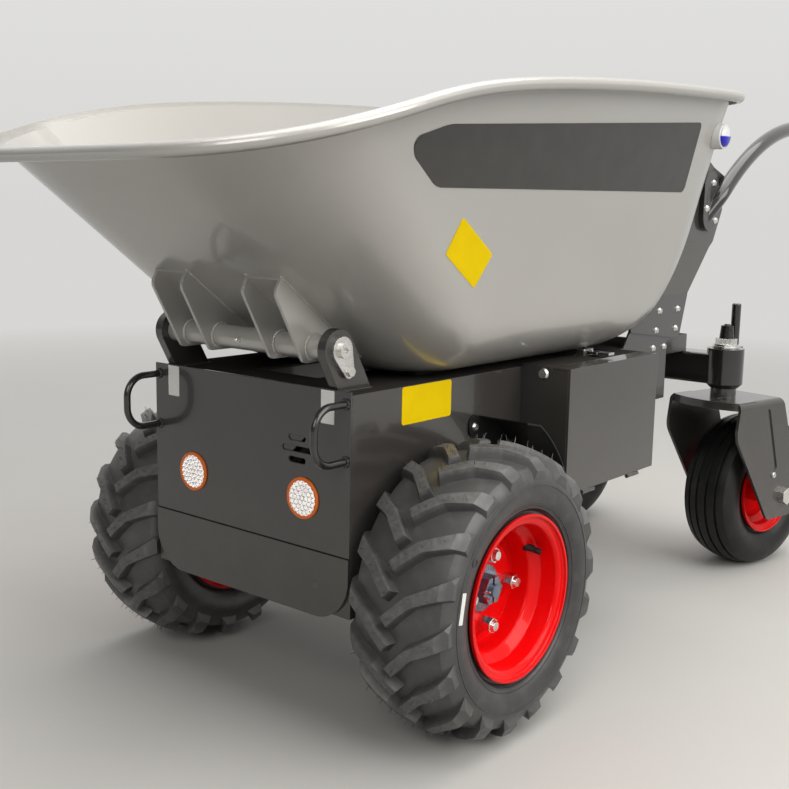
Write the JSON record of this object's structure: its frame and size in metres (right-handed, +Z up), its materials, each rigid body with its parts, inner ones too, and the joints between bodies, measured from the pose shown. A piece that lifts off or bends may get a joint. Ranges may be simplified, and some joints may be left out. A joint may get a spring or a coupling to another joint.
{
  "type": "mini dumper",
  "caption": "Walk-behind electric mini dumper: forward-tipping pressed skip on a plate chassis, lugged drive wheels in front, swivel casters behind, bent operator handles.",
  "frame": {"origin": "on the ground under the middle of the machine's length and width", "axes": "+X forward over the skip's tipping edge, +Y to the machine's left, +Z up"},
  "size_m": [1.806, 0.72, 0.9171],
  "materials": {
    "anthracite": "gloss",
    "black_paint": "gloss",
    "skip_silver": "gloss metallic",
    "red_paint": "gloss",
    "tyre_rubber": "matte",
    "zinc": "satin",
    "steel": "satin",
    "chrome": "polished",
    "lamp_orange": "gloss",
    "lamp_lens": "clear",
    "rubber": "matte",
    "battery_case": "matte",
    "aluminium": "cast",
    "ram_paint": "satin",
    "switch_black": "satin",
    "stop_red": "gloss",
    "gauge_white": "gloss"
  },
  "bodies": {
    "chassis": {"chassis_frame": "anthracite", "front_plate": "anthracite", "lower_plate": "anthracite", "tie_loops": "anthracite", "lamp_bezels": "lamp_orange", "lamp_lenses": "lamp_lens", "pivot_pins": "steel", "pivot_keepers": "zinc", "mudguards": "black_paint", "battery_box_left": "anthracite", "battery_box_right": "anthracite", "latch_bases": "zinc", "batteries": "battery_case", "motor_controller": "aluminium", "drive_unit": "aluminium", "rear_beam": "black_paint", "mast_plate_left": "anthracite", "mast_plate_right": "anthracite", "console": "anthracite", "frame_bolts": "zinc", "handle_left": "black_paint", "handle_right": "black_paint", "grips": "rubber", "lever_clamp": "aluminium", "skip_pads": "rubber"},
    "skip": {"skip_shell": "skip_silver", "skip_brackets": "skip_silver", "pivot_tube": "skip_silver", "slope_gauge": "gauge_white"},
    "ram_barrel": {"ram_barrel": "ram_paint"},
    "ram_rod": {"ram_rod": "chrome"},
    "key": {"key": "steel"},
    "direction_switch": {"direction_switch": "switch_black"},
    "tip_switch": {"tip_switch": "switch_black"},
    "emergency_stop": {"emergency_stop": "stop_red"},
    "throttle": {"throttle_grip": "rubber"},
    "brake_lever": {"brake_lever": "aluminium"},
    "wheel_left": {"tyre_left": "tyre_rubber", "wheel_rim_left": "red_paint", "wheel_hub_left": "steel", "wheel_nuts_left": "steel"},
    "caster_left": {"caster_fork_left": "anthracite", "caster_fixings_left": "zinc"},
    "caster_wheel_left": {"caster_tyre_left": "tyre_rubber", "caster_rim_left": "red_paint"},
    "door_left": {"box_door_left": "anthracite"},
    "latch_left": {"door_latch_left": "zinc"},
    "lock_left": {"swivel_lock_left": "black_paint"},
    "wheel_right": {"tyre_right": "tyre_rubber", "wheel_rim_right": "red_paint", "wheel_hub_right": "steel", "wheel_nuts_right": "steel"},
    "caster_right": {"caster_fork_right": "anthracite", "caster_fixings_right": "zinc"},
    "caster_wheel_right": {"caster_tyre_right": "tyre_rubber", "caster_rim_right": "red_paint"},
    "door_right": {"box_door_right": "anthracite"},
    "latch_right": {"door_latch_right": "zinc"},
    "lock_right": {"swivel_lock_right": "black_paint"}
  },
  "joints": [
    {"name": "skip_tilt", "type": "hinge", "parent": "chassis", "child": "skip", "pos_m": [0.593, 0, 0.533], "axis": [0, 1, 0], "range_deg": [0, 60]},
    {"name": "ram_swing", "type": "hinge", "parent": "chassis", "child": "ram_barrel", "pos_m": [0.548, 0, 0.3], "axis": [0, 1, 0], "range_deg": [0, 36.65]},
    {"name": "ram_stroke", "type": "slide", "parent": "ram_barrel", "child": "ram_rod", "axis": [-0.84, 0, 0.5425], "range_m": [0, 0.18519]},
    {"name": "wheel_spin_left", "type": "hinge", "parent": "chassis", "child": "wheel_left", "pos_m": [0.428, 0.278, 0.203], "axis": [0, 1, 0], "continuous": true},
    {"name": "caster_swivel_left", "type": "hinge", "parent": "chassis", "child": "caster_left", "pos_m": [-0.472, 0.227, 0.4], "axis": [0, 0, 1], "continuous": true},
    {"name": "caster_roll_left", "type": "hinge", "parent": "caster_left", "child": "caster_wheel_left", "pos_m": [-0.57373, 0.24862, 0.155], "axis": [0.2079, 0.9781, 0], "continuous": true},
    {"name": "door_swing_left", "type": "hinge", "parent": "chassis", "child": "door_left", "pos_m": [0.071, 0.2795, 0.2864], "axis": [-1, 0, 0], "range_deg": [0, 100]},
    {"name": "latch_lift_left", "type": "hinge", "parent": "chassis", "child": "latch_left", "pos_m": [0.046, 0.208, 0.488], "axis": [1, 0, 0], "range_deg": [0, 35]},
    {"name": "lock_lift_left", "type": "slide", "parent": "chassis", "child": "lock_left", "axis": [0, 0, 1], "range_m": [0, 0.025]},
    {"name": "wheel_spin_right", "type": "hinge", "parent": "chassis", "child": "wheel_right", "pos_m": [0.428, -0.278, 0.203], "axis": [0, 1, 0], "continuous": true},
    {"name": "caster_swivel_right", "type": "hinge", "parent": "chassis", "child": "caster_right", "pos_m": [-0.472, -0.227, 0.4], "axis": [0, 0, 1], "continuous": true},
    {"name": "caster_roll_right", "type": "hinge", "parent": "caster_right", "child": "caster_wheel_right", "pos_m": [-0.57373, -0.20538, 0.155], "axis": [0.2079, 0.9781, 0], "continuous": true},
    {"name": "door_swing_right", "type": "hinge", "parent": "chassis", "child": "door_right", "pos_m": [0.071, -0.2795, 0.2864], "axis": [1, 0, 0], "range_deg": [0, 100]},
    {"name": "latch_lift_right", "type": "hinge", "parent": "chassis", "child": "latch_right", "pos_m": [0.046, -0.208, 0.488], "axis": [-1, 0, 0], "range_deg": [0, 35]},
    {"name": "lock_lift_right", "type": "slide", "parent": "chassis", "child": "lock_right", "axis": [0, 0, 1], "range_m": [0, 0.025]},
    {"name": "key_turn", "type": "hinge", "parent": "chassis", "child": "key", "pos_m": [-0.3715, 0.15, 0.757], "axis": [0.9336, 0, -0.3583], "range_deg": [0, 90]},
    {"name": "direction_rock", "type": "hinge", "parent": "chassis", "child": "direction_switch", "pos_m": [-0.3715, 0.06, 0.757], "axis": [0, 1, 0], "range_deg": [-10, 10]},
    {"name": "tip_rock", "type": "hinge", "parent": "chassis", "child": "tip_switch", "pos_m": [-0.3715, -0.03, 0.757], "axis": [0, 1, 0], "range_deg": [-10, 10], "stiffness_Nm_per_rad": 0.06},
    {"name": "stop_press", "type": "slide", "parent": "chassis", "child": "emergency_stop", "axis": [0.9336, 0, -0.3583], "range_m": [0, 0.006], "stiffness_N_per_m": 1500},
    {"name": "throttle_twist", "type": "hinge", "parent": "chassis", "child": "throttle", "pos_m": [-0.816, -0.251, 0.892], "axis": [-1, 0, 0], "range_deg": [0, 60], "stiffness_Nm_per_rad": 0.5},
    {"name": "brake_pull", "type": "hinge", "parent": "chassis", "child": "brake_lever", "pos_m": [-0.773, 0.251, 0.862], "axis": [0, 1, 0], "range_deg": [0, 7], "stiffness_Nm_per_rad": 2}
  ],
  "couplings": [
    {"joint": "ram_swing", "follows": "skip_tilt", "ratio": 0.61029},
    {"joint": "ram_stroke", "follows": "skip_tilt", "m_per_rad": 0.17666}
  ]
}
